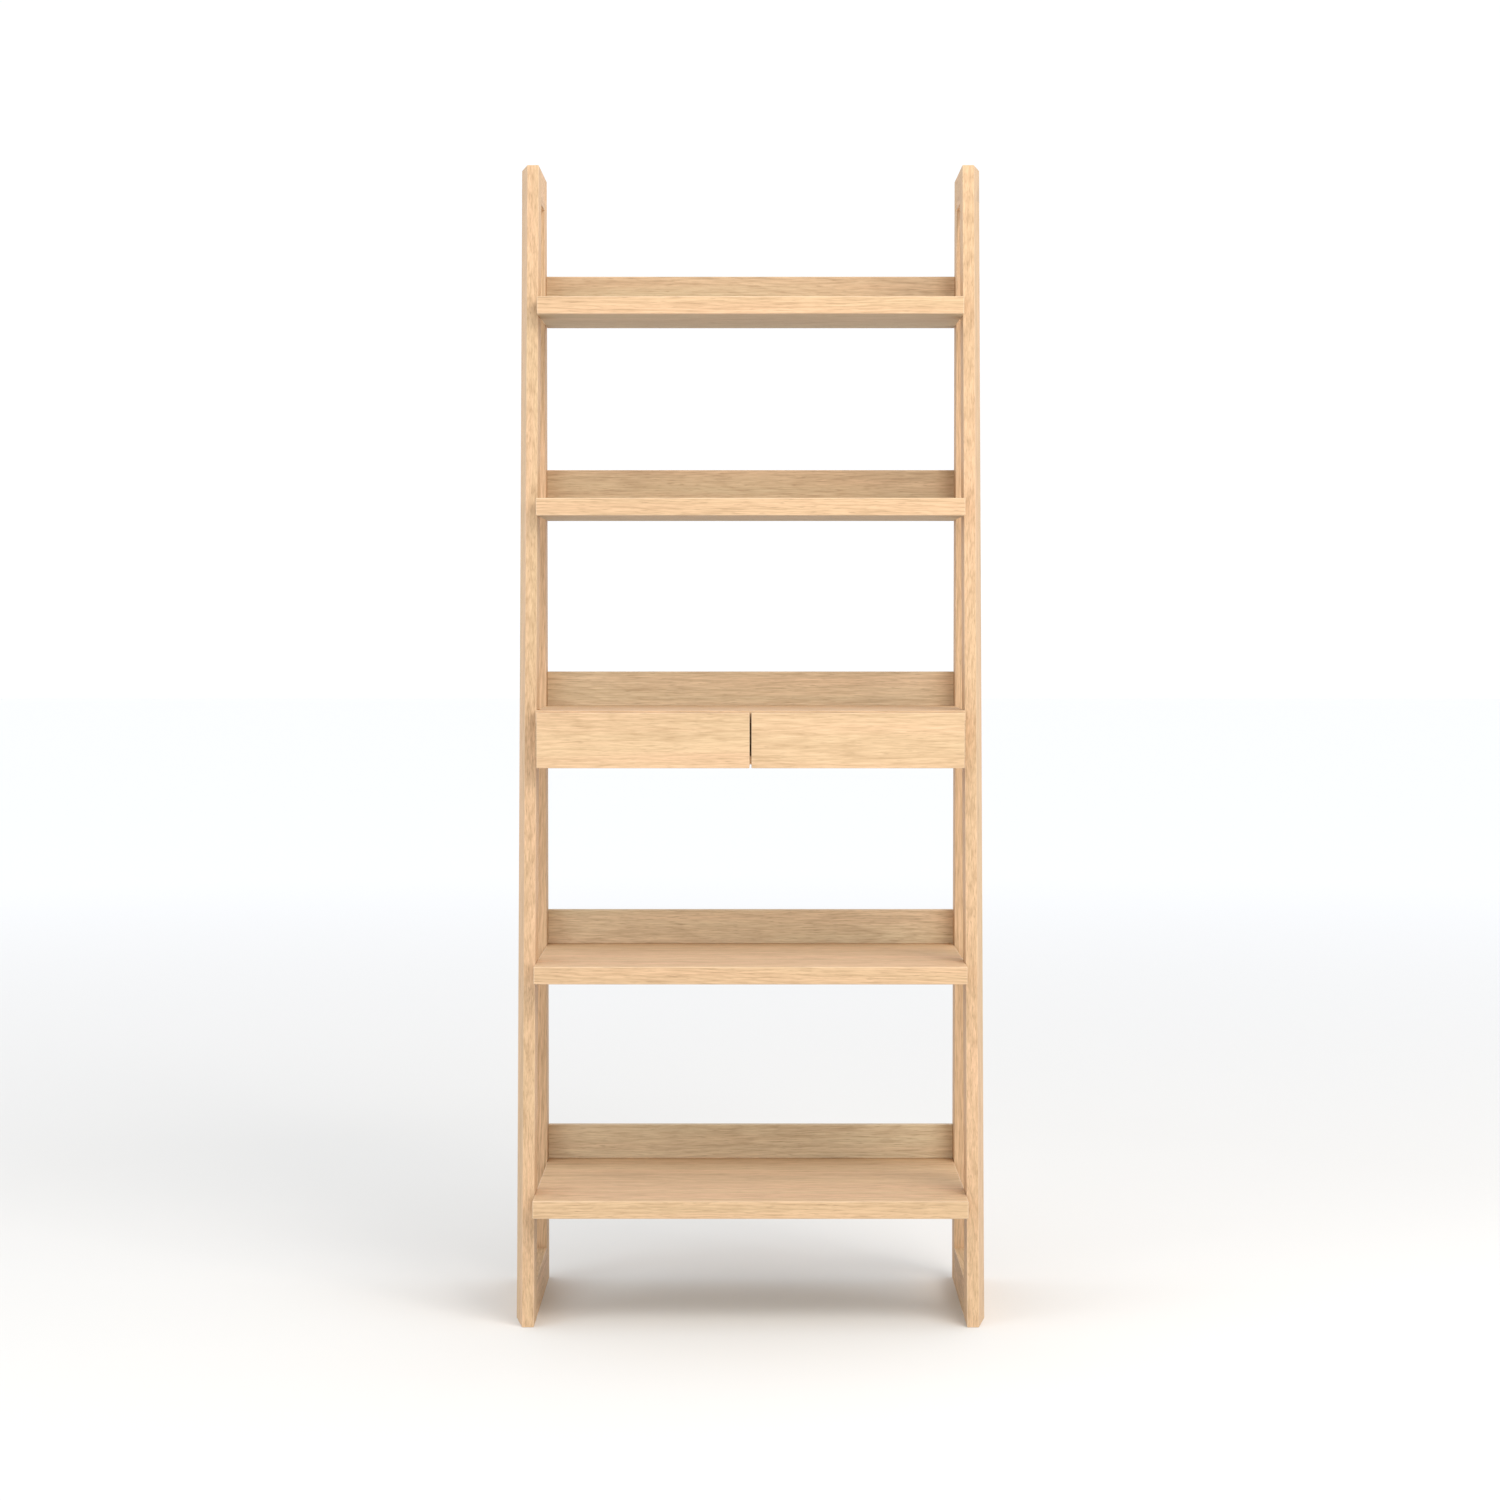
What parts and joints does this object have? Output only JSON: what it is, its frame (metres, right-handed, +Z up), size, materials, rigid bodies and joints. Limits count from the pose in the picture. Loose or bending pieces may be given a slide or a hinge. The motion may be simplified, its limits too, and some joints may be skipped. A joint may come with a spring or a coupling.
{
  "type": "ladder shelf",
  "caption": "Tall ladder shelf in pale oak: open shelves with upstands and handle-less drawers between closed side frames whose front posts lean back.",
  "frame": {"origin": "on the floor, at the middle of the width and of the overall depth", "axes": "+Z up, +X to the right seen from the front, +Y towards the wall; the drawers open along -Y"},
  "size_m": [0.8, 0.43, 1.98],
  "materials": {
    "oak": "solid pale oak, planed and matt oiled",
    "drawer_oak": "solid oak drawer sides, sanded and matt oiled",
    "birch_ply": "thin birch plywood, sanded",
    "beech": "planed beech, unfinished",
    "steel": "zinc plated steel"
  },
  "bodies": {
    "frame": {"left_front_post": "oak", "left_rear_post": "oak", "left_bottom_rail": "oak", "left_top_rail": "oak", "right_front_post": "oak", "right_rear_post": "oak", "right_bottom_rail": "oak", "right_top_rail": "oak", "bottom_shelf": "oak", "bottom_shelf_upstand": "oak", "lower_shelf": "oak", "lower_shelf_upstand": "oak", "upper_shelf": "oak", "upper_shelf_upstand": "oak", "top_shelf": "oak", "top_shelf_upstand": "oak", "drawer_case_back": "oak", "drawer_case_top": "oak", "drawer_case_bottom": "oak", "drawer_case_left_cheek": "oak", "drawer_case_divider": "oak", "drawer_case_right_cheek": "oak", "left_drawer_inner_runner": "beech", "left_drawer_outer_runner": "beech", "left_drawer_stop": "beech", "right_drawer_inner_runner": "beech", "right_drawer_outer_runner": "beech", "right_drawer_stop": "beech", "bottom_shelf_left_dowel": "beech", "lower_shelf_left_dowel": "beech", "upper_shelf_left_dowel": "beech", "top_shelf_left_dowel": "beech", "drawer_case_left_dowel": "beech", "bottom_shelf_right_dowel": "beech", "lower_shelf_right_dowel": "beech", "upper_shelf_right_dowel": "beech", "top_shelf_right_dowel": "beech", "drawer_case_right_dowel": "beech", "bottom_shelf_left_screw": "steel", "lower_shelf_left_screw": "steel", "upper_shelf_left_screw": "steel", "top_shelf_left_screw": "steel", "drawer_case_left_screw": "steel", "bottom_shelf_right_screw": "steel", "lower_shelf_right_screw": "steel", "upper_shelf_right_screw": "steel", "top_shelf_right_screw": "steel", "drawer_case_right_screw": "steel"},
    "left_drawer": {"left_drawer_front": "oak", "left_drawer_inner_side": "drawer_oak", "left_drawer_outer_side": "drawer_oak", "left_drawer_back": "drawer_oak", "left_drawer_bottom": "birch_ply"},
    "right_drawer": {"right_drawer_front": "oak", "right_drawer_inner_side": "drawer_oak", "right_drawer_outer_side": "drawer_oak", "right_drawer_back": "drawer_oak", "right_drawer_bottom": "birch_ply"}
  },
  "joints": [
    {"name": "left_drawer_slide", "type": "slide", "parent": "frame", "child": "left_drawer", "axis": [0, -1, 0], "range_m": [0, 0.22]},
    {"name": "right_drawer_slide", "type": "slide", "parent": "frame", "child": "right_drawer", "axis": [0, -1, 0], "range_m": [0, 0.22]}
  ]
}
